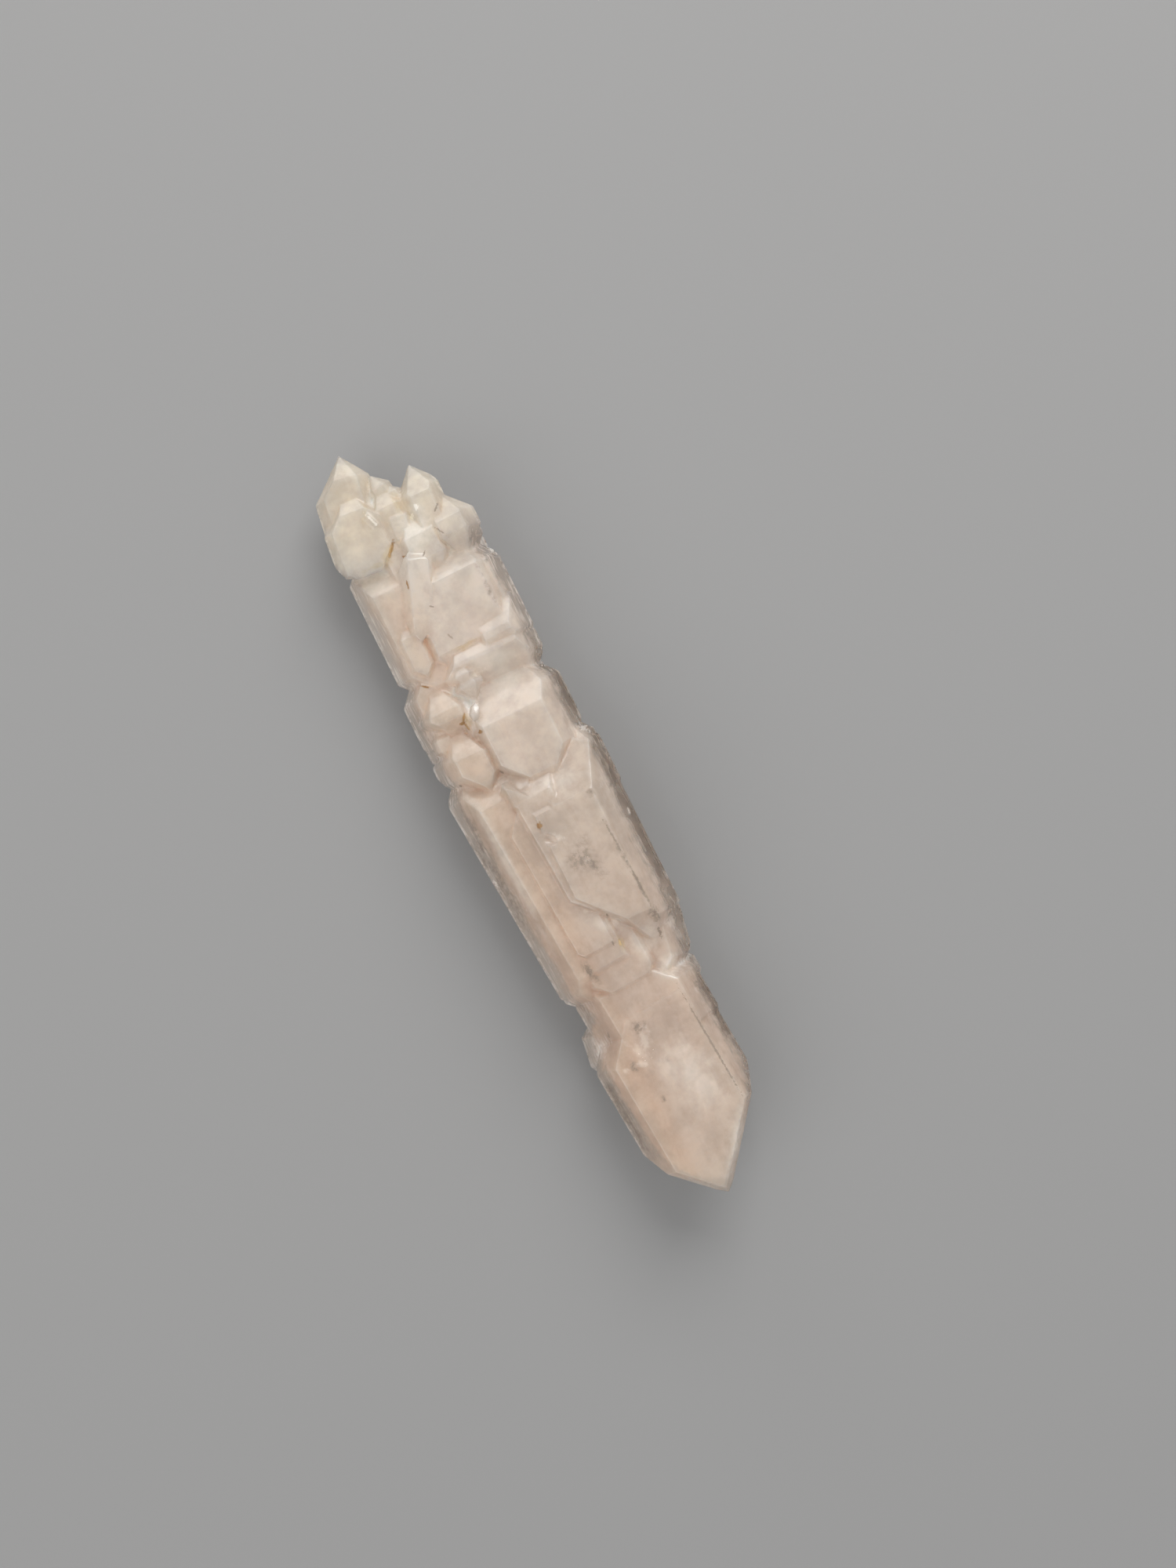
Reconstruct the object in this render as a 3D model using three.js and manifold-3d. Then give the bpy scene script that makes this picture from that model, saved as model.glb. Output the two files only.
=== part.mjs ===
// A double-terminated quartz crystal: one natural solid, a stack of crystals grown side by side
// and end to end along one axis. Millimetres, +Z up. The shared long (c) axis lies along +X,
// with the single large point at +X and a crowd of small points at -X. It lies on flat prism
// faces at z = 0.
import * as THREE from "three";
import { ConvexGeometry } from "three/addons/geometries/ConvexGeometry.js";
import { mergeVertices } from "three/addons/utils/BufferGeometryUtils.js";
import Module from "manifold-3d";

const wasm = await Module();
wasm.setup();

// ---- Quartz's own angles ------------------------------------------------------------------
// Six prism faces stand round the c-axis, 60 degrees apart. At each end an end face leans in
// from every one of them. Order of the six: top, back top, back low, bottom, front low,
// front top, where the back is +Y.
const degrees = THREE.MathUtils.degToRad;
const END_LEAN = degrees(38.2);
const FACE_TURNS = [90, 30, -30, -90, -150, 150].map(degrees);
const SIDE_SLOPE = Math.tan(degrees(60));
const FINEST_DETAIL = 0.04;

const six = (value) => (Array.isArray(value) ? value : Array(6).fill(value));

// Distances of the six prism faces from the axis, from sizes across the crystal: up and down to
// its top and bottom faces, and on each side [to the ridge of the top face, to the widest edge].
function girth({ up, down, back, front }) {
  const upper = ([ridge]) => ridge * Math.cos(degrees(30)) + up / 2;
  const lower = ([ridge, widest]) => {
    const height = up - (widest - ridge) * SIDE_SLOPE;
    return widest * Math.cos(degrees(30)) - height / 2;
  };
  return [up, upper(back), lower(back), down, lower(front), upper(front)];
}

// One crystal as the space behind its faces. at: a point of its c-axis. sides: how far each
// prism face stands from the axis. left, right: how far along the axis from "at" the end faces
// cross it. yaw, pitch and roll lean it away from the stack's axis, in degrees.
function crystal({ at, sides, left = 0, right = 0, yaw = 0, pitch = 0, roll = 0 }) {
  const side = six(Array.isArray(sides) || typeof sides === "number" ? sides : girth(sides));
  const ends = [[-1, six(left)], [1, six(right)]];
  const planes = [];
  FACE_TURNS.forEach((angle, k) => {
    const out = new THREE.Vector3(0, Math.cos(angle), Math.sin(angle));
    planes.push(new THREE.Plane(out, -side[k]));
    ends.forEach(([way, reach]) => {
      const normal = out.clone().multiplyScalar(Math.cos(END_LEAN));
      normal.x = way * Math.sin(END_LEAN);
      planes.push(new THREE.Plane(normal, -reach[k] * Math.sin(END_LEAN)));
    });
  });
  const geometry = new ConvexGeometry(cornersOf(planes));
  geometry.rotateX(degrees(roll)).rotateY(-degrees(pitch)).rotateZ(degrees(yaw));
  return geometry.translate(...at);
}

// The corners of the space behind all the planes.
function cornersOf(planes) {
  const corners = [];
  const count = planes.length;
  for (let i = 0; i < count; i += 1) {
    for (let j = i + 1; j < count; j += 1) {
      for (let k = j + 1; k < count; k += 1) {
        const corner = meetingPoint(planes[i], planes[j], planes[k]);
        const kept = corner && planes.every((plane) => plane.distanceToPoint(corner) < 1e-6);
        if (kept && corners.every((other) => other.distanceTo(corner) > 1e-4)) corners.push(corner);
      }
    }
  }
  return corners;
}

// Where three planes meet, or null if two of them are nearly parallel.
function meetingPoint(a, b, c) {
  const bc = new THREE.Vector3().crossVectors(b.normal, c.normal);
  const share = a.normal.dot(bc);
  if (Math.abs(share) < 1e-6) return null;
  const ca = new THREE.Vector3().crossVectors(c.normal, a.normal);
  const ab = new THREE.Vector3().crossVectors(a.normal, b.normal);
  return bc.multiplyScalar(-a.constant)
    .addScaledVector(ca, -b.constant)
    .addScaledVector(ab, -c.constant)
    .divideScalar(share);
}

function solidOf(geometry) {
  geometry.deleteAttribute("normal");
  geometry.deleteAttribute("uv");
  const welded = mergeVertices(geometry, 1e-4);
  return new wasm.Manifold(new wasm.Mesh({
    numProp: 3,
    vertProperties: new Float32Array(welded.attributes.position.array),
    triVerts: new Uint32Array(welded.index.array),
  }));
}

// ---- The large point and the neck behind it ------------------------------------------------
const pointEnd = {
  point: { at: [44.3, 0.3, 9.3], yaw: 4,
    sides: { up: 1.2, down: 8.3, back: [6.4, 8.75], front: [4.0, 6.3] },
    left: [23.1, 31, 30, 34, 27.2, 22.8], right: [3, -0.2, 0.5, 0, 1.0, 0.3] },
  neck: { at: [20, 1.2, 5.7], yaw: 4,
    sides: { up: 4.72, down: 5.4, back: [4.1, 6.45], front: [4.3, 7.2] },
    left: [6.6, 6.0, 9, 9, 9, 9], right: 14 },
  neckFill: { at: [17, 1.3, 5.4], sides: { up: 5.3, down: 5.1, back: [2.2, 4.6], front: [4.3, 7.4] },
    left: 12, right: [9, 7.4, 7, 8, 9, 9], yaw: 3 },
};

// ---- The thick middle: a barrel, the ledges down its front, and its broken right shoulder ----
const middle = {
  barrel: { at: [0, 2.9, 6.4], sides: { up: 6.0, down: 6.4, back: [3.3, 6.5], front: [3.4, 6.0] },
    left: [8.7, 14.4, 13.9, 13, 12, 12], right: [20.6, 21.5, 20.9, 19, 18, 16.2] },
  gable: { at: [-1.72, 4.0, 9.43], sides: { up: 3.0, down: 4, back: [2.3, 4.2], front: [2.3, 4] },
    left: [3.82, 9, 9, 8, 6, 5.4], right: 7, pitch: -10 },
  barrelCrest: { at: [-3.4, 5.2, 5.6], sides: { up: 3.9, down: 4.6, back: [3.0, 4.4], front: [2, 3] },
    left: [7.4, 8.4, 8.2, 8, 8, 8], right: [8, 8.4, 8.2, 8, 8, 8] },
  shoulder: { at: [10, 5.0, 5.8], sides: { up: 3.9, down: 4.6, back: [2.4, 4.9], front: [2, 4] },
    left: 3, right: [14.5, 13.8, 13.6, 14, 14, 14], yaw: -10 },
  ledge: { at: [0, 0.5, 6.2], sides: { up: 5.75, down: 5.9, back: [2, 4], front: [2.1, 4.5] },
    left: [10.5, 11.4, 12, 12, 11, 11.2], right: [18, 18, 17, 16, 14, 14.6], yaw: 3 },
  terrace: { at: [0, -2.4, 5.9], sides: { up: 5.25, down: 5.9, back: [3, 5], front: [2.9, 5.85] },
    left: [11, 12, 12, 12, 13.6, 13], right: [23.2, 24, 24, 23, 24, 24.5], yaw: 3.8 },
  terraceStep: { at: [2, -1.2, 8.4], sides: { up: 3.05, down: 3, back: [1.6, 3], front: [2.4, 3.4] },
    left: [8.4, 8, 8, 8, 7.2, 7.0], right: [16.4, 17, 17, 17, 16.4, 16.6], yaw: 3 },
  ledgeToe: { at: [-2, -1.0, 10.4], sides: { up: 1.5, down: 2.5, back: [1.0, 1.6], front: [0.9, 1.9] },
    left: [5.0, 3.27, 4, 4, 4.6, 5.4], right: 1, yaw: 3 },
};

// ---- The waist, left of the middle -------------------------------------------------------------
const waist = {
  waist: { at: [-9, 2.2, 6.0], sides: { up: 5.2, down: 5.8, back: [3.5, 6.6], front: [3.5, 5.6] },
    left: [9.71, 12.2, 12.7, 11, 12, 11.2], right: [10.41, 9.2, 7.6, 8, 9, 8.6] },
  waistFront: { at: [-15, -3.6, 5.2], sides: { up: 3.0, down: 4.9, back: [2.6, 4], front: [2.9, 4.75] },
    left: [8.5, 8.4, 8.4, 8.4, 8.2, 8.1], right: [8, 8, 8, 8, 7.3, 7.6] },
  notchFront: { at: [-13.7, -4.0, 7.95], sides: { up: 2.83, down: 7.5, back: [1.7, 3], front: [1.6, 4.4] },
    left: [0, 0, 0, 0, 3.4, 0.4], right: [10.8, 10, 10, 10, 10.4, 8.94] },
  block: { at: [-19.3, -4.3, 7.1], sides: 2.95, right: [8.6, 8.6, 8, 8, 8, 8] },
  chisel: { at: [-14.6, -5.8, 7.6], sides: 1.26, right: 4.4 },
  saddle: { at: [-17, 2.2, 4.4], sides: { up: 3.5, down: 4.0, back: [3, 5.4], front: [3.4, 5] },
    left: 8, right: 9 },
  tile: { at: [-14.2, -1.25, 10.35], sides: 0.5, left: 0.9, right: 1.3, yaw: -32, pitch: 14 },
  flag: { at: [-13.9, -1.9, 8.9], sides: [1.2, 0.9, 0.9, 1, 0.9, 0.9], left: 1, right: 3.2, yaw: -6 },
  heel: { at: [-12.4, -6.3, 4.9], sides: 1.65, left: 2.6, right: 3.2 },
};

// ---- The collar: the long left half ---------------------------------------------------------
const collar = {
  collar: { at: [-26, 2.6, 5.2], sides: { up: 4.3, down: 5.2, back: [3.4, 5.8], front: [4.7, 6.2] },
    left: [7.97, 9.2, 8.6, 9, 9, 10], right: [10.3, 13.6, 13, 13, 13, 13] },
  collarFront: { at: [-26, -3.4, 4.9], sides: { up: 3.5, down: 4.9, back: [1.5, 3], front: [2.4, 4.3] },
    left: [8.45, 9, 9, 10, 10.9, 11.4], right: [12, 12, 12, 12, 10.1, 10.4] },
  collarInner: { at: [-27, -1.6, 5.0], sides: { up: 3.2, down: 4.6, back: [2, 3], front: [2.3, 3.6] },
    left: [7.1, 9, 9, 9, 9, 9], right: 11 },
  shelf: { at: [-21.5, 4.6, 7.5], sides: { up: 2.8, down: 3, back: [1.9, 3.4], front: [1.2, 2.6] },
    left: [3.2, 7.0, 6, 4, 3.6, 4.0], right: [4.6, 5.4, 5, 5, 4.6, 4.6], roll: 5 },
  strip: { at: [-18.6, 2.1, 5.4], sides: { up: 4.65, down: 4.8, back: [4.1, 6.4], front: [4.2, 6] },
    left: [6.85, 8.3, 9, 9, 7.6, 7.4], right: [5.3, 8.4, 8.4, 7.6, 7.6, 7.6] },
  thinA: { at: [-20.0, -0.8, 8.9], sides: 1.4, right: 3.6 },
  thinB: { at: [-19.0, -0.7, 8.6], sides: 1.45, right: 4 },
  wedge: { at: [-23.4, -3.2, 8.9], sides: { up: 0.6, down: 5, back: [1.6, 4.2], front: [0.6, 1.9] },
    left: [9.7, 10.9, 11, 11, 10.4, 10.2], right: [2, 0.4, 0, 0, 0, 0.2], yaw: -21, pitch: -3, roll: -7 },
  step24: { at: [-26.45, -4.15, 7.55], sides: [1.6, 1.6, 1.6, 2, 1.7, 1.6],
    right: [8.4, 7.6, 7.6, 7, 7, 7.6] },
  crest: { at: [-24, 5.6, 5.4], sides: { up: 3.0, down: 3.4, back: [1.6, 3.0], front: [1.6, 2.4] },
    left: 8.2, right: [7.8, 7.6, 7.6, 7, 7, 7] },
};

// ---- The crowded left end ---------------------------------------------------------------------
const crown = {
  longPoint: { at: [-45.9, -2.3, 5.2], sides: [2.16, 2.2, 2.4, 3.6, 3.6, 3.5], right: 14, yaw: -9 },
  backPoint: { at: [-41.5, 4.1, 6.4], sides: [2.85, 2.3, 1.6, 3.2, 2.4, 2.5], right: 12, yaw: -2 },
  honeyPoint: { at: [-42.4, -0.2, 5.6], sides: [1.4, 1.3, 1.2, 2, 1.3, 1.3], right: 8, yaw: 8 },
  honeyBud: { at: [-40.7, 0.9, 6.3], sides: 0.9, right: 4, yaw: 10 },
  innerPoint: { at: [-40.95, -0.1, 6.1], sides: 2.1, right: 9 },
  innerBud: { at: [-38.6, 0.6, 7.0], sides: 1.5, right: 6, yaw: -4 },
  knob: { at: [-37.6, 5.4, 7.0], sides: [2.75, 2.6, 2.6, 3.2, 2.6, 2.6], right: 8.6 },
  knobBack: { at: [-35.6, 5.9, 5.6], sides: [2.6, 1.9, 2.0, 3, 2, 2], right: [7.6, 6.8, 6.6, 6, 6, 6] },
  whiteStep: { at: [-37.6, 1.75, 6.6], sides: 2.86, right: 10 },
  cream: { at: [-37, -4.4, 6.0], sides: { up: 2.4, down: 4.8, back: [3.1, 4.0], front: [2.3, 3.4] },
    left: [5.5, 6.1, 6, 6, 5.4, 5.05], right: [7.5, 7.5, 7.4, 1.9, 8.0, 8.2], yaw: -6 },
  creamRib: { at: [-39.1, -2.8, 7.95], sides: 0.6, right: 3.2, yaw: 20 },
  creamToe: { at: [-41.9, -4.6, 5.4], sides: [1.8, 1.8, 2, 3, 2.1, 1.9], right: 7, yaw: -5 },
  root: { at: [-34, 0.4, 4.8], sides: { up: 3.2, down: 4.4, back: [1.2, 3.6], front: [3.0, 5.2] },
    left: 6.6, right: 9 },
  rootBack: { at: [-34, 2.8, 4.8], sides: { up: 2.2, down: 4.2, back: [2.4, 3.4], front: [2, 3] },
    left: 5, right: 8 },
};

// ---- Stubby crystals along both flanks and underneath -------------------------------------------
// Each row holds a stub's middle, its axis-to-face distance, its half length and its yaw.
const flankRows = [
  [[-30.5, 5.4, 3.6], 2.2, 3.4, 3], [[-22.6, 5.7, 3.4], 2.3, 5.6, -2], [[-13.4, 6.0, 3.9], 1.8, 3.2, 2],
  [[-6.6, 6.7, 3.2], 1.7, 3.0, -3], [[2.6, 6.6, 3.6], 2.3, 7.0, 1], [[12.8, 5.8, 3.0], 1.9, 3.8, -6],
  [[21.2, 5.7, 3.4], 2.15, 3.6, 4], [[31.0, 5.4, 3.4], 1.7, 5.0, 4],
  [[-31, -4.9, 3.0], 2.2, 3.4, -3], [[-23.4, -5.3, 2.8], 1.8, 4.6, 1], [[-15.8, -5.6, 2.9], 2.3, 3.4, -2],
  [[-9.6, -5.9, 2.6], 1.7, 2.4, 4], [[-1.4, -5.7, 2.8], 2.2, 6.2, 4], [[9.8, -5.0, 2.7], 1.8, 3.6, 3],
  [[16.6, -4.7, 3.0], 2.1, 3.0, 6], [[25.0, -5.0, 3.4], 2.0, 4.2, -9], [[32.4, -3.5, 3.3], 2.0, 4.4, 5],
];
const underRows = [
  [[-25, 0.3, 2.3], 2.1, 5.5, 2], [[-12, -0.9, 2.6], 2.3, 5.0, -2], [[6, -0.2, 2.2], 2.0, 8.4, 3],
  [[21.6, 0.4, 3.0], 2.3, 5.0, 4], [[32.4, 2.0, 2.9], 1.8, 4.2, 5], [[-36.0, -1.8, 2.8], 2.1, 3.6, -4],
];

function stubs(rows) {
  return rows.map(([at, sides, half, yaw], n) => {
    const long = half + sides * 0.4 * (n % 3);
    return { at, sides, left: half, right: long, yaw };
  });
}

function grow(parts) {
  return wasm.Manifold.union(Object.values(parts).map((part) => solidOf(crystal(part))));
}

// ---- Conchoidal chips: shallow bowls that knocks have left, each a ball's cap ----------------------
const chips = [
  { at: [13.5, -7.9, 8.7], size: [2.2, 1.6, 2.5], yaw: 12 },
  { at: [20.2, -7.0, 6.8], size: [2.4, 1.2, 2.2], yaw: 8 },
  { at: [11.3, 1.1, 12.7], size: [2.1, 0.6, 1.1], yaw: 44 },
  { at: [1.6, -0.5, 12.9], size: [1.5, 0.8, 1.0], yaw: 50 },
  { at: [-8.0, 8.9, 8.6], size: [1.3, 1.2, 1.5] },
  { at: [3.4, 9.7, 8.3], size: [2.3, 0.8, 1.6], yaw: -8 },
  { at: [16.6, 9.0, 8.2], size: [1.6, 1.1, 1.6], yaw: -20 },
  { at: [-29.3, 8.7, 6.9], size: [1.3, 1.0, 1.5] },
  { at: [-32.3, -7.5, 8.8], size: [1.2, 1.2, 1.2], yaw: 20 },
];

function chip({ at, size, yaw = 0 }) {
  const bowl = new THREE.IcosahedronGeometry(1, 3).scale(...size);
  return solidOf(bowl.rotateZ(degrees(yaw)).translate(...at));
}

const grown = [pointEnd, middle, waist, collar, crown, stubs(flankRows), stubs(underRows)].map(grow);
const chipped = wasm.Manifold.union(grown).subtract(wasm.Manifold.union(chips.map(chip)));

// The outer skin alone: gaps shut in between the crystals are healed, as quartz fills them.
function healed(solid) {
  const shells = solid.simplify(FINEST_DETAIL).decompose();
  return shells.reduce((outer, shell) => (shell.volume() > outer.volume() ? shell : outer));
}

let quartz = healed(chipped);

// The origin is the middle of the footprint, on the surface that the crystal lies on.
const box = quartz.boundingBox();
quartz = quartz.translate([
  -(box.min[0] + box.max[0]) / 2,
  -(box.min[1] + box.max[1]) / 2,
  -box.min[2],
]);

function geometryOf(solid) {
  const { vertProperties, triVerts } = solid.getMesh();
  const geometry = new THREE.BufferGeometry();
  geometry.setAttribute("position", new THREE.BufferAttribute(vertProperties, 3));
  geometry.setIndex(new THREE.BufferAttribute(triVerts, 1));
  const flat = geometry.toNonIndexed();
  flat.computeVertexNormals();
  return flat;
}

const milkyQuartz = new THREE.MeshStandardMaterial({ color: 0xd9c8bb, roughness: 0.2, metalness: 0 });
const mesh = new THREE.Mesh(geometryOf(quartz), milkyQuartz);
mesh.name = "quartz_crystal";

const specimen = new THREE.Group();
specimen.add(mesh);
export default specimen;
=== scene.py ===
import math
import bmesh
import bpy
import numpy as np
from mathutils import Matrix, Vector


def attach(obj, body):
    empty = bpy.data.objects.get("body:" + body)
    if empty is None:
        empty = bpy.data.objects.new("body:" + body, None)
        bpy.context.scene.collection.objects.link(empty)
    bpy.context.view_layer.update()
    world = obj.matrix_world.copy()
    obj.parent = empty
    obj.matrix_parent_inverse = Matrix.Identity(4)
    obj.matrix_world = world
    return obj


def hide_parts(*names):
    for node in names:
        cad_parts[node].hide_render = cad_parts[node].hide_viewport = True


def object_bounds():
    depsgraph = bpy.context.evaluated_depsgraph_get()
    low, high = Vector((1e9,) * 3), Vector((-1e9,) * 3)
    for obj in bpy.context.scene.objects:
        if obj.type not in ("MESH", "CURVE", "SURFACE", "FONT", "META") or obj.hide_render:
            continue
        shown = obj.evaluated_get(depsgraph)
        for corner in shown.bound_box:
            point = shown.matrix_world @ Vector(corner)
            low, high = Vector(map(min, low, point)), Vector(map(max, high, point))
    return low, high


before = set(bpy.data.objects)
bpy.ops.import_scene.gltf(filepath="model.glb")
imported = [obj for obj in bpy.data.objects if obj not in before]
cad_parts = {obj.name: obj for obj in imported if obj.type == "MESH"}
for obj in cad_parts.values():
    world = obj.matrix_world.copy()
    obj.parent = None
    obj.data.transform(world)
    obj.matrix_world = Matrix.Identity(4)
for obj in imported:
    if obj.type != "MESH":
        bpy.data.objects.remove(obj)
cad_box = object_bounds()

# ---- Camera -----------------------------------------------------------------------------------
# It looks straight down on the lying crystal, rolled so that the large point leads to the lower
# right and the crowded end to the upper left.
FRAME_HEIGHT = 0.170
CAMERA_HEIGHT = 0.300
SHARP_HEIGHT = 0.007
FRAME_CENTRE = Vector((-0.00094, 0.00561))
ROLL = math.radians(63.5)
SEEN_FROM_TO = (0.01, 5.0)

camera_data = bpy.data.cameras.new("overhead_camera")
camera_data.sensor_fit = "AUTO"
camera_data.lens = camera_data.sensor_width * CAMERA_HEIGHT / FRAME_HEIGHT
camera_data.clip_start, camera_data.clip_end = SEEN_FROM_TO
camera = bpy.data.objects.new("overhead_camera", camera_data)
camera.location = (*FRAME_CENTRE, SHARP_HEIGHT + CAMERA_HEIGHT)
camera.rotation_euler = (0.0, 0.0, ROLL)
bpy.context.scene.collection.objects.link(camera)
bpy.context.scene.camera = camera

# ---- Floor and light --------------------------------------------------------------------------
# A plain grey table top. A large soft window light stands at the back of the crowded end, with a
# low one beyond that end, a weaker fill opposite them, and an even pale room round them all.
TABLE_SIDE = 3.0
TABLE_DROP = 0.00005
TABLE_COLOUR = (0.29, 0.29, 0.29, 1.0)
TABLE_ROUGHNESS = 0.75

table_top = bmesh.new()
bmesh.ops.create_grid(table_top, x_segments=1, y_segments=1, size=TABLE_SIDE / 2)
bmesh.ops.translate(table_top, verts=table_top.verts, vec=(0.0, 0.0, -TABLE_DROP))
table_mesh = bpy.data.meshes.new("table_top")
table_top.to_mesh(table_mesh)
table_top.free()
table = bpy.data.objects.new("table_top", table_mesh)
bpy.context.scene.collection.objects.link(table)

matt_paint = bpy.data.materials.new("matt_table_paint")
matt_paint.use_nodes = True
paint = matt_paint.node_tree.nodes["Principled BSDF"]
paint.inputs["Base Color"].default_value = TABLE_COLOUR
paint.inputs["Roughness"].default_value = TABLE_ROUGHNESS
table_mesh.materials.append(matt_paint)


def soft_light(name, bearing, height, distance, size, power, colour):
    """A square softbox. bearing turns from +X towards +Y, height is above the horizon."""
    light = bpy.data.lights.new(name, "AREA")
    light.shape = "SQUARE"
    light.size = size
    light.energy = power
    light.color = colour
    towards = Vector((
        math.cos(math.radians(bearing)) * math.cos(math.radians(height)),
        math.sin(math.radians(bearing)) * math.cos(math.radians(height)),
        math.sin(math.radians(height)),
    ))
    box = bpy.data.objects.new(name, light)
    box.location = towards * distance
    box.rotation_euler = towards.to_track_quat("Z", "Y").to_euler()
    bpy.context.scene.collection.objects.link(box)


WINDOW_WHITE = (1.0, 0.985, 0.97)
FILL_WHITE = (1.0, 0.99, 0.98)
ROOM_COLOUR = (0.85, 0.85, 0.85, 1.0)
ROOM_STRENGTH = 0.66
soft_light("window_light", bearing=140, height=42, distance=0.60, size=0.40,
           power=2.5, colour=WINDOW_WHITE)
soft_light("low_light", bearing=175, height=15, distance=0.60, size=0.30,
           power=0.45, colour=WINDOW_WHITE)
soft_light("fill_light", bearing=-75, height=45, distance=0.70, size=0.60,
           power=1.4, colour=FILL_WHITE)

room = bpy.data.worlds.new("pale_room")
room.use_nodes = True
backdrop = room.node_tree.nodes["Background"]
backdrop.inputs["Color"].default_value = ROOM_COLOUR
backdrop.inputs["Strength"].default_value = ROOM_STRENGTH
bpy.context.scene.world = room
bpy.context.scene.view_settings.view_transform = "Standard"

# ---- Quartz crystal ---------------------------------------------------------------------------
# One natural crystal of milky quartz, clear at its margins and stained by iron in a few seams.
# It grew from hot water as a stack of side-by-side crystals, and knocks have worn its edges.
MM = 0.001
VOXEL = 0.12 * MM
WELD = 0.02 * MM
KEPT_FACES = 0.24
# Name, length and height of the waves that wear the faces.
WORN_WAVES = (("broad_waves", 4.0 * MM, 0.05 * MM), ("fine_waves", 0.9 * MM, 0.018 * MM))
WAVE_MIDDLE = 0.5
SHARP_ANGLE = math.radians(16)

cad_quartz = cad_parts["quartz_crystal"]
welded = bmesh.new()
welded.from_mesh(cad_quartz.data)
bmesh.ops.remove_doubles(welded, verts=welded.verts, dist=WELD)
rough_mesh = bpy.data.meshes.new("quartz_rough")
welded.to_mesh(rough_mesh)
welded.free()
quartz = bpy.data.objects.new("quartz_skin", rough_mesh)
bpy.context.scene.collection.objects.link(quartz)
closing = quartz.modifiers.new("closed_skin", "REMESH")
closing.mode = "VOXEL"
closing.voxel_size = VOXEL
for name, wave, height in WORN_WAVES:
    waves = bpy.data.textures.new(name, "CLOUDS")
    waves.noise_scale = wave
    waves.noise_depth = 2
    worn = quartz.modifiers.new(name, "DISPLACE")
    worn.texture = waves
    worn.texture_coords = "LOCAL"
    worn.mid_level = WAVE_MIDDLE
    worn.strength = height
thinning = quartz.modifiers.new("thinned_faces", "DECIMATE")
thinning.ratio = KEPT_FACES
finished = quartz.evaluated_get(bpy.context.evaluated_depsgraph_get())
skin = bpy.data.meshes.new_from_object(finished)
quartz.modifiers.clear()
quartz.data = skin
skin.name = "quartz_skin"
for face in skin.polygons:
    face.use_smooth = True
skin.set_sharp_from_angle(angle=SHARP_ANGLE)

# The worn skin is held inside the box of the solid.
corners = np.empty(len(skin.vertices) * 3)
skin.vertices.foreach_get("co", corners)
corners = np.clip(corners.reshape(-1, 3), cad_box[0], cad_box[1])
skin.vertices.foreach_set("co", corners.ravel())

# How far each point lies in from the outline, seen from above: the clear rind is near 0.
SLICE = 1.0 * MM
FRONT_SHARE = 1.1
slices = np.arange(corners[:, 0].min(), corners[:, 0].max() + SLICE, SLICE)
slot_of = np.clip(((corners[:, 0] - slices[0]) / SLICE).astype(int), 0, len(slices) - 1)
back_edge = np.full(len(slices), -1.0)
front_edge = np.full(len(slices), 1.0)
np.maximum.at(back_edge, slot_of, corners[:, 1])
np.minimum.at(front_edge, slot_of, corners[:, 1])
back_gap = np.interp(corners[:, 0], slices + SLICE / 2, back_edge) - corners[:, 1]
front_gap = corners[:, 1] - np.interp(corners[:, 0], slices + SLICE / 2, front_edge)
nearest_gap = np.minimum(back_gap, front_gap * FRONT_SHARE) / MM
depth = skin.attributes.new("inward", "FLOAT", "POINT")
depth.data.foreach_set("value", nearest_gap.astype(np.float32))

# How far each point lies below the ground round it, seen from above: the joints are near 1.
CELL = 0.3 * MM
REACH = 4
corner_of_box = np.array(cad_box[0][:2])
columns, rows = np.ceil((cad_box[1][:2] - corner_of_box) / CELL).astype(int) + 1
column_of, row_of = ((corners[:, :2] - corner_of_box) / CELL).astype(int).T
ground = np.zeros((columns, rows))
np.maximum.at(ground, (column_of, row_of), corners[:, 2])
for axis in (0, 1):
    ground = np.mean([np.roll(ground, step, axis) for step in range(-REACH, REACH + 1)], axis=0)
below = (ground[column_of, row_of] - corners[:, 2]) / MM
joint = skin.attributes.new("joint", "FLOAT", "POINT")
joint.data.foreach_set("value", np.clip(below, 0.0, 1.0).astype(np.float32))

milky = bpy.data.materials.new("milky_quartz")
milky.use_nodes = True
nodes, links = milky.node_tree.nodes, milky.node_tree.links
shader = nodes["Principled BSDF"]


def socket_in(node, key, value):
    """Gives an input its value, or wires a socket into it."""
    if isinstance(value, bpy.types.NodeSocket):
        links.new(value, node.inputs[key])
    elif value is not None:
        node.inputs[key].default_value = value


def maths(how, a, b=None, c=None):
    node = nodes.new("ShaderNodeMath")
    node.operation = how
    socket_in(node, 0, a)
    socket_in(node, 1, b)
    socket_in(node, 2, c)
    return node.outputs[0]


def grain(size, detail=3.0, rough=0.55, stretch=(1, 1, 1), warp=0.0, seed=(0, 0, 0)):
    """A noise pattern from 0 to 1 whose lumps are about that many millimetres long."""
    spread = nodes.new("ShaderNodeMapping")
    socket_in(spread, "Vector", place)
    spread.inputs["Scale"].default_value = [1 / (size * part) for part in stretch]
    spread.inputs["Location"].default_value = seed
    noise = nodes.new("ShaderNodeTexNoise")
    socket_in(noise, "Vector", spread.outputs[0])
    noise.inputs["Scale"].default_value = 1.0
    noise.inputs["Detail"].default_value = detail
    noise.inputs["Roughness"].default_value = rough
    noise.inputs["Distortion"].default_value = warp
    return noise.outputs["Fac"]


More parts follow.
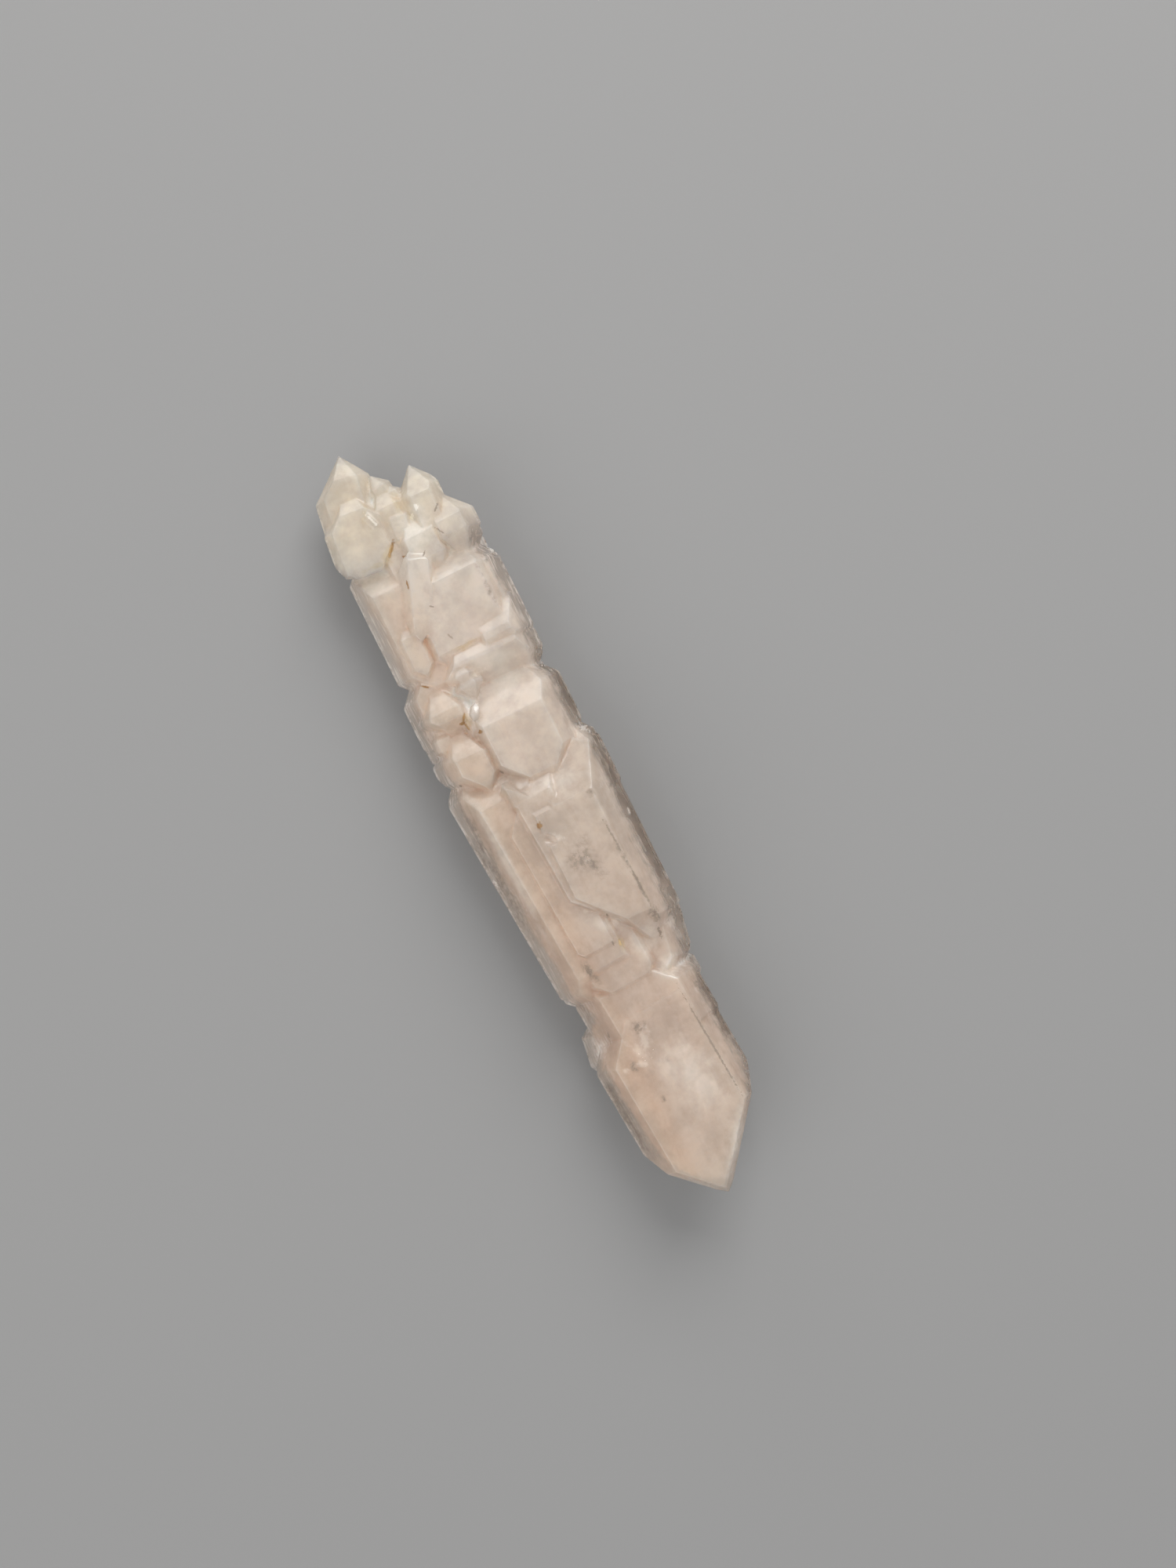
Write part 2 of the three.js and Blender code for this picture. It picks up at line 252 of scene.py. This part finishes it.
def ramp(value, low, high, to_low=0.0, to_high=1.0, smooth=True):
    """Maps a value between two levels onto two others, and holds it there."""
    node = nodes.new("ShaderNodeMapRange")
    node.interpolation_type = "SMOOTHSTEP" if smooth else "LINEAR"
    socket_in(node, "Value", value)
    node.inputs["From Min"].default_value = low
    node.inputs["From Max"].default_value = high
    node.inputs["To Min"].default_value = to_low
    node.inputs["To Max"].default_value = to_high
    return node.outputs[0]


def tinted(base, colour, share, how="MIX"):
    node = nodes.new("ShaderNodeMix")
    node.data_type = "RGBA"
    node.blend_type = how
    socket_in(node, "Factor", share)
    links.new(base, node.inputs[6])
    if isinstance(colour, bpy.types.NodeSocket):
        links.new(colour, node.inputs[7])
    else:
        node.inputs[7].default_value = (*colour, 1.0)
    return node.outputs[2]


where = nodes.new("ShaderNodeTexCoord")
in_mm = nodes.new("ShaderNodeMapping")
in_mm.inputs["Scale"].default_value = (1 / MM, 1 / MM, 1 / MM)
links.new(where.outputs["Object"], in_mm.inputs["Vector"])
place = in_mm.outputs[0]
parts_of_place = nodes.new("ShaderNodeSeparateXYZ")
links.new(place, parts_of_place.inputs[0])
along = parts_of_place.outputs["X"]
across = parts_of_place.outputs["Y"]

inward = nodes.new("ShaderNodeAttribute")
inward.attribute_name = "inward"
wisps = grain(1.1, detail=5, rough=0.65, stretch=(2.5, 1, 1), warp=0.4)
broad = grain(9.0, detail=2, seed=(3, 1, 7))
inside = maths("ADD", inward.outputs["Fac"], ramp(wisps, 0.25, 0.75, -0.5, 0.5, smooth=False))
inside = maths("ADD", inside, ramp(broad, 0.3, 0.7, -0.35, 0.35, smooth=False))
point_back = maths("MULTIPLY", ramp(along, 18.0, 22.0), ramp(across, 0.0, 3.0))
inside = maths("ADD", inside, maths("MULTIPLY", point_back, 0.7))
heart = ramp(inside, 0.6, 1.9)
crown_share = ramp(along, -28.0, -34.0)
heart = maths("MAXIMUM", heart, crown_share)
heart = maths("MAXIMUM", heart, ramp(along, 36.0, 40.0, 0.0, 0.8))

# Body colour along the length: cream at the crowded end, then white, and pinkish to the point.
# Each tone stands at a share of the whole length.
body_colour = nodes.new("ShaderNodeValToRGB")
links.new(ramp(along, -45.0, 45.0, smooth=False), body_colour.inputs[0])
TONES = [
    (0.00, (0.93, 0.81, 0.68)), (0.10, (0.94, 0.82, 0.69)), (0.17, (0.96, 0.83, 0.74)),
    (0.40, (0.89, 0.77, 0.67)), (0.52, (0.80, 0.69, 0.59)), (0.70, (0.84, 0.69, 0.58)),
    (0.78, (0.82, 0.67, 0.56)), (1.00, (0.82, 0.69, 0.58)),
]
tones = body_colour.color_ramp.elements
for place_along, tone in TONES[1:-1]:
    tones.new(place_along)
for element, (place_along, tone) in zip(sorted(tones, key=lambda e: e.position), TONES):
    element.position = place_along
    element.color = (*tone, 1.0)
colour = body_colour.outputs[0]
warm_front = maths("MULTIPLY", ramp(across, -1.0, -3.5), ramp(along, -34.0, -28.0))
colour = tinted(colour, (1.0, 0.94, 0.89), warm_front, how="MULTIPLY")
streaks = grain(1.1, detail=5, rough=0.6, stretch=(6, 1, 1), warp=0.3, seed=(7, 1, 3))
streaks = maths("MULTIPLY", ramp(streaks, 0.45, 0.75), ramp(along, -16.0, -4.0, 0.2, 0.6))
colour = tinted(colour, (0.84, 0.81, 0.79), streaks, how="MULTIPLY")
joints = nodes.new("ShaderNodeAttribute")
joints.attribute_name = "joint"
in_joint = joints.outputs["Fac"]
# Painted light: the joints between the crystals are lightened, which washes out the shade that falls
# in them.
colour = tinted(colour, (0.95, 0.93, 0.91), maths("MULTIPLY", in_joint, 0.85))
colour = tinted(colour, (0.86, 0.79, 0.72), maths("SUBTRACT", 1.0, heart))


def top_of(x, y):
    """A point of the skin, in millimetres, straight below the open sky."""
    hit, point, _, _ = quartz.ray_cast((x * MM, y * MM, 1.0), (0.0, 0.0, -1.0))
    return Vector((x, y, point.z / MM if hit else 0.0))


def spot(x, y, length, width, turn=0.0, ragged=0.35):
    """A fine mark in the skin, 1 in its middle and 0 outside a ragged edge. Sizes in millimetres."""
    laid = nodes.new("ShaderNodeMapping")
    laid.vector_type = "TEXTURE"
    socket_in(laid, "Vector", place)
    laid.inputs["Location"].default_value = top_of(x, y)
    laid.inputs["Rotation"].default_value = (0.0, 0.0, math.radians(turn))
    laid.inputs["Scale"].default_value = (length / 2, width / 2, MARK_DEPTH)
    reach = nodes.new("ShaderNodeVectorMath")
    reach.operation = "LENGTH"
    links.new(laid.outputs[0], reach.inputs[0])
    return ramp(maths("MULTIPLY_ADD", fray, ragged, reach.outputs["Value"]), 1.0, 0.55)


def spots(rows):
    """The strongest of several fine marks. Each row holds what spot asks for, in its order."""
    strongest = None
    for row in rows:
        mark = spot(*row)
        strongest = mark if strongest is None else maths("MAXIMUM", strongest, mark)
    return strongest


def patches(name, ragged, rows):
    """Soft patches with drifting edges. Each row holds x, y, length, width and turn, and may end
    with how deep the patch reaches. The skin keeps how far off the nearest one's middle is."""
    nearest = np.full(len(corners), np.inf)
    for x, y, length, width, turn, *deep in rows:
        east, north, up = (corners / MM - np.array(top_of(x, y))).T
        cosine, sine = math.cos(math.radians(turn)), math.sin(math.radians(turn))
        lengthways = (east * cosine + north * sine) / (length / 2)
        sideways = (north * cosine - east * sine) / (width / 2)
        up = up / (deep[0] if deep else MARK_DEPTH)
        nearest = np.minimum(nearest, np.sqrt(lengthways ** 2 + sideways ** 2 + up ** 2))
    reach = skin.attributes.new(name, "FLOAT", "POINT")
    reach.data.foreach_set("value", np.minimum(nearest, FARTHEST_REACH).astype(np.float32))
    kept = nodes.new("ShaderNodeAttribute")
    kept.attribute_name = name
    return ramp(maths("MULTIPLY_ADD", drift, ragged, kept.outputs["Fac"]), 1.15, 0.0)


MARK_DEPTH = 1.5
FARTHEST_REACH = 4.0
# How far fine marks fray and soft patches drift at their edges, from -1 to 1.
fray = grain(0.3, detail=4, rough=0.65, seed=(1, 8, 2))
fray = ramp(fray, 0.3, 0.7, -1.0, 1.0, smooth=False)
drift = grain(2.0, detail=5, rough=0.6, warp=0.3, seed=(6, 3, 4))
drift = ramp(drift, 0.3, 0.7, -1.0, 1.0, smooth=False)
veils = grain(3.5, detail=5, rough=0.55, warp=0.2, seed=(5, 2, 9))
fine_veils = grain(1.0, detail=4, rough=0.6, seed=(9, 4, 2))
thickness = maths("ADD", maths("MULTIPLY", veils, 0.7), maths("MULTIPLY", fine_veils, 0.3))

# Grey smoke where the milky heart thins out and dark inclusions show, and painted shade along the
# clear front and back rims, where the shade under the crystal would show through.
smoke_and_shade = patches("smoke_and_shade", 0.6, [
    (8.5, 5.6, 13.0, 0.7, 1), (14.6, 5.9, 3.2, 1.3, 0), (5.9, 1.9, 4.4, 4.4, 60),
    (6.9, 2.4, 1.8, 2.6, 0), (-0.1, 5.4, 1.2, 1.0, 0), (17.0, -3.2, 3.2, 1.1, 10),
    (24.8, -1.1, 1.4, 2.0, 0), (28.4, -3.4, 1.6, 1.0, 0), (32.9, -2.2, 0.9, 0.7, 0),
    (29.2, 0.2, 0.9, 0.7, 0), (32.5, -6.9, 14.0, 1.9, 5, 6.0), (20.3, -5.8, 5.0, 1.0, 5, 4.0),
    (26.5, 7.0, 14.0, 1.7, 2, 5.0), (-25.0, 5.4, 7.0, 0.8, 0), (3.5, 8.6, 21.0, 1.9, 0, 6.0),
    (-10.5, 7.9, 6.5, 1.5, 0, 6.0), (4.0, -7.6, 20.0, 2.1, 1.5, 6.0),
])
speckle = grain(0.5, detail=4, rough=0.65, seed=(3, 9, 5))
smoke_and_shade = maths("MULTIPLY", smoke_and_shade, ramp(speckle, 0.38, 0.6, 0.15, 1.0))
colour = tinted(colour, (0.40, 0.33, 0.27), maths("MULTIPLY", smoke_and_shade, 0.66))

# Painted shade: darker glassy rims where the sides turn away from the light, as deep as the crystal
# is high.
RIM_DEPTH = 14.0
painted_rim_shade = patches("painted_rim_shade", 0.25, [
    (3.5, 8.6, 22.0, 1.7, 0, RIM_DEPTH), (-10.5, 7.9, 6.5, 1.5, 0, RIM_DEPTH),
    (26.5, 7.2, 13.0, 1.3, 2, RIM_DEPTH), (31.5, -6.8, 13.0, 1.3, 5, RIM_DEPTH),
])
colour = tinted(colour, (0.36, 0.30, 0.24), maths("MULTIPLY", painted_rim_shade, 0.7))

# Whiter clouds and bruises inside the crystal, and painted light that lifts slopes and faces lying
# in shade and brightens faces that catch the window light.
clouds_and_painted_light = patches("clouds_and_painted_light", 0.3, [
    (32.0, 1.8, 12.0, 6.0, 8, 5), (-15.0, 2.5, 6.0, 6.0, 0, 4), (-34.0, 1.0, 7.0, 5.0, 0, 4),
    (16.6, 3.6, 4.6, 4.2, 0, 4), (20.4, 4.6, 3.0, 3.8, -20, 4), (13.4, 0.9, 7.0, 2.2, 44, 4),
    (-17.3, 2.6, 2.8, 7.0, 0, 4), (-2.4, 3.4, 3.0, 5.6, 0, 4), (-35.8, 2.0, 2.2, 2.2, 0, 4),
    (3.5, -6.0, 19.0, 1.5, 1.5, 3), (-30.7, -5.0, 3.2, 4.4, 0, 5), (41.0, 2.5, 11.0, 2.0, -34, 9),
    (43.0, -2.9, 8.0, 1.8, 49, 9),
])
colour = tinted(colour, (0.97, 0.91, 0.84), maths("MULTIPLY", clouds_and_painted_light, 0.5))

# Iron oxide in the seams between the crystals.
rust = spots([
    (-33.1, -2.1, 2.6, 0.42, -40), (-31.7, -1.1, 1.1, 0.32, 52), (-28.8, -2.2, 1.1, 0.26, -12),
    (-18.2, -5.5, 1.2, 0.28, 50), (-13.2, -3.2, 1.1, 0.34, -35), (-12.3, -3.3, 1.5, 0.3, 14),
    (-12.8, -3.6, 0.42, 0.8, 0), (-11.1, -2.25, 0.5, 0.75, -15), (0.75, -1.0, 0.85, 1.0, 15),
    (15.8, 1.1, 0.9, 0.4, -8),
])
colour = tinted(colour, (0.33, 0.17, 0.045), maths("MULTIPLY", rust, 0.9))

# Thin dark dirt in the finest seams.
dark_seams = spots([
    (11.0, 5.75, 6.0, 0.34, 2, 0.5), (5.4, 5.5, 4.2, 0.24, 4, 0.8), (14.7, 6.0, 1.3, 0.4, 10, 0.6),
    (16.6, 5.4, 1.5, 0.4, -5, 0.8), (-32.4, 3.5, 2.0, 0.22, 28, 0.6), (-31.0, 0.9, 0.9, 0.26, -45),
    (-25.5, -0.9, 0.8, 0.22, 50), (-34.9, 4.3, 1.3, 0.24, -45, 0.6), (12.5, 1.2, 0.5, 0.3, 0),
    (30.2, 5.1, 13.0, 0.26, 4, 0.7), (17.0, -3.3, 1.6, 0.3, 0, 0.8), (24.3, -4.5, 0.8, 0.24, -10),
    (-6.9, -6.8, 0.5, 0.24, 50), (-21.8, -0.6, 0.8, 0.22, 25, 0.6), (-6.2, -2.1, 0.6, 0.24, 30),
    (15.5, 0.4, 0.7, 0.26, 0),
])
colour = tinted(colour, (0.20, 0.16, 0.12), maths("MULTIPLY", dark_seams, 0.6))

# Yellowish clay left in the hollows at the crowded end.
clay = patches("clay", 0.7, [
    (-20.2, 0.6, 0.9, 4.4, 0), (-32.2, -4.6, 0.9, 4.6, 0), (-32.6, -2.7, 3.4, 1.3, -48),
    (-38.5, -2.6, 5.0, 1.0, -25), (-37.0, 0.6, 4.0, 1.2, 0), (-12.9, -2.9, 2.2, 1.2, 0),
    (15.6, 1.2, 2.0, 0.9, 0),
])
colour = tinted(colour, (0.80, 0.64, 0.36), maths("MULTIPLY", clay, 0.5))

# Soft pale wisps where knocks have opened cracks under the skin, and a painted highlight on a small
# face at the neck that catches the window light.
bruises_and_highlight = patches("bruises_and_highlight", 0.9, [
    (26.8, -1.1, 3.4, 1.3, -20), (26.7, -2.6, 3.2, 1.4, 45), (28.6, -2.5, 1.8, 0.7, 60),
    (28.3, -4.4, 0.9, 0.6, 0), (28.0, -6.0, 1.8, 0.6, 0), (12.8, 0.9, 4.2, 0.9, 45),
    (20.2, 5.1, 2.4, 2.6, -30), (2.9, 0.3, 3.2, 1.0, 50), (-17.0, 0.6, 1.4, 2.6, 0),
    (18.1, 7.2, 1.6, 0.9, -30), (24.6, -6.6, 3.0, 0.7, -25),
])
colour = tinted(colour, (0.97, 0.88, 0.80), maths("MULTIPLY", bruises_and_highlight, 0.45))

# White shattered flaws where knocks have opened cracks, and painted glints where chips on the upper
# edge catch the light.
flaws_and_glints = spots([
    (6.1, 1.8, 0.8, 0.8, 0, 0.6), (3.6, 8.3, 1.2, 0.4, 0, 0.6), (-28.6, 7.6, 1.4, 0.9, 0, 0.6),
    (-6.6, 7.9, 1.3, 0.9, 40, 0.6), (27.2, -1.6, 2.0, 1.6, 0, 0.9),
])
shards = grain(1.1, detail=2, rough=0.5, stretch=(1.5, 1, 1), warp=0.8, seed=(4, 4, 1))
crumbs_and_glints = maths("MULTIPLY", flaws_and_glints, ramp(shards, 0.42, 0.66))
colour = tinted(colour, (0.93, 0.84, 0.76), maths("MULTIPLY", crumbs_and_glints, 0.4))

# Painted highlights: white glints where faces and chips catch the light, with a few white chips of
# their own.
painted_glints_and_chips = spots([
    (-6.5, 7.9, 1.6, 0.6, 40, 0.6), (-28.5, 7.6, 1.0, 0.5, 0, 0.6), (-35.9, 2.4, 0.8, 0.6, 0, 0.5),
    (-35.3, 1.5, 0.7, 0.6, 0, 0.5), (-36.9, -2.6, 2.4, 0.3, 20, 0.6), (3.7, 8.2, 1.0, 0.3, 0, 0.6),
    (4.2, -8.2, 1.0, 0.4, 10, 0.6), (-13.8, -1.3, 1.4, 0.7, -30, 0.4),
])
colour = tinted(colour, (0.98, 0.92, 0.86), maths("MULTIPLY", painted_glints_and_chips, 0.45))

# Milk scatters light in the heart, and runs out in threads towards the clear rind.
milk = ramp(thickness, 0.35, 0.65, 0.38, 0.53)
fibres = grain(0.45, detail=4, rough=0.6, stretch=(7, 1, 1), seed=(2, 5, 5))
threads = ramp(fibres, 0.48, 0.72, 0.0, 0.35)
rind_milk = maths("ADD", ramp(across, 2.0, -2.0, 0.04, 0.24), ramp(along, -14.0, -20.0, 0.0, 0.12))
threads = maths("MULTIPLY", threads, ramp(along, 14.0, -14.0, 0.5, 1.0))
threads = maths("MULTIPLY", threads, ramp(heart, 0.3, 1.0, 1.0, 0.0))
milk = maths("MAXIMUM", maths("MULTIPLY", milk, heart), maths("ADD", threads, rind_milk))
milk = maths("MULTIPLY", milk, ramp(smoke_and_shade, 0.0, 1.0, 1.0, 0.75, smooth=False))
milk = maths("ADD", milk, maths("MULTIPLY", clouds_and_painted_light, 0.12))
milk = maths("ADD", milk, maths("MULTIPLY", in_joint, 0.32))
milk = maths("ADD", milk, maths("MULTIPLY", painted_glints_and_chips, 0.25))
milk = maths("ADD", milk, maths("MULTIPLY", bruises_and_highlight, 0.12))
# The very edge catches light again where it is worn, and stains and dirt let none through.
outline = maths("MULTIPLY", ramp(inward.outputs["Fac"], 0.45, 0.1), ramp(fine_veils, 0.42, 0.58))
outline = maths("MULTIPLY", outline, ramp(painted_rim_shade, 0.0, 1.0, 1.0, 0.2, smooth=False))
milk = maths("ADD", milk, maths("MULTIPLY", outline, 0.25))
for mark, share in ((rust, 0.85), (crumbs_and_glints, 0.5), (clay, 0.43), (dark_seams, 0.51)):
    milk = maths("MAXIMUM", milk, maths("MULTIPLY", mark, share))
links.new(colour, shader.inputs["Base Color"])
links.new(maths("SUBTRACT", 1.0, milk), shader.inputs["Transmission Weight"])
sheen = ramp(grain(2.0, detail=4), 0.35, 0.7, 0.03, 0.11)
links.new(maths("ADD", sheen, maths("MULTIPLY", crumbs_and_glints, 0.3)), shader.inputs["Roughness"])
QUARTZ_IOR = 1.544
SCATTER_COLOUR = (1.0, 0.94, 0.88)
SCATTER_REACH = 3 * MM
SMOKE_COLOUR = (0.80, 0.65, 0.56, 1.0)
SMOKE_DENSITY = 22.0
GROWTH_RELIEF = 0.03 * MM
GROWTH_SHARE = 0.35
shader.inputs["IOR"].default_value = QUARTZ_IOR
shader.inputs["Subsurface Weight"].default_value = 1.0
shader.inputs["Subsurface Radius"].default_value = SCATTER_COLOUR
shader.inputs["Subsurface Scale"].default_value = SCATTER_REACH

# Growth lines across the prism faces, and slow ripples over them.
bump = nodes.new("ShaderNodeBump")
bump.inputs["Strength"].default_value = GROWTH_SHARE
bump.inputs["Distance"].default_value = GROWTH_RELIEF
ripples = maths("MULTIPLY", grain(2.5, detail=2, seed=(8, 8, 3)), 3.0)
steps = grain(0.35, detail=2, stretch=(1, 20, 20), seed=(0, 4, 0))
links.new(maths("ADD", ripples, maths("ADD", steps, crumbs_and_glints)), bump.inputs["Height"])
links.new(bump.outputs[0], shader.inputs["Normal"])
smoke = nodes.new("ShaderNodeVolumeAbsorption")
smoke.inputs["Color"].default_value = SMOKE_COLOUR
smoke.inputs["Density"].default_value = SMOKE_DENSITY
links.new(smoke.outputs[0], nodes["Material Output"].inputs["Volume"])
skin.materials.clear()
skin.materials.append(milky)

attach(quartz, "root")
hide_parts("quartz_crystal")
